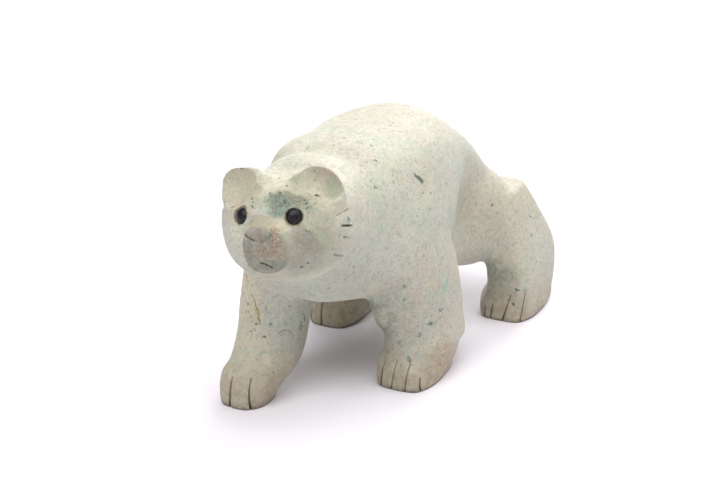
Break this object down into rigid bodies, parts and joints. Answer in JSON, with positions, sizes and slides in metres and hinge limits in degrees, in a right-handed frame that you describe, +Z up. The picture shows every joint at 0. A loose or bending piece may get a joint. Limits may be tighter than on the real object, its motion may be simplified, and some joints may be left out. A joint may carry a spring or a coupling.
{
  "type": "turquoise bear carving",
  "caption": "Walking bear carved from one block of pale green turquoise, with a low tilted head, short rounded ears, grooved toes and inlaid black bead eyes; a small figure for a shelf or desk.",
  "frame": {"origin": "on the surface that the paws stand on, under the middle of the bear's box", "axes": "+Z up, the bear faces -Y, and its left side is +X"},
  "size_m": [0.0594, 0.126, 0.07],
  "materials": {
    "turquoise": "pale grey-green stone with fine dark green and brown flecks, hand polished to a soft satin",
    "left_bead": "polished near-black bead",
    "right_bead": "polished near-black bead"
  },
  "bodies": {
    "root": {"bear_body": "turquoise", "left_eye": "left_bead", "right_eye": "right_bead"}
  },
  "joints": []
}
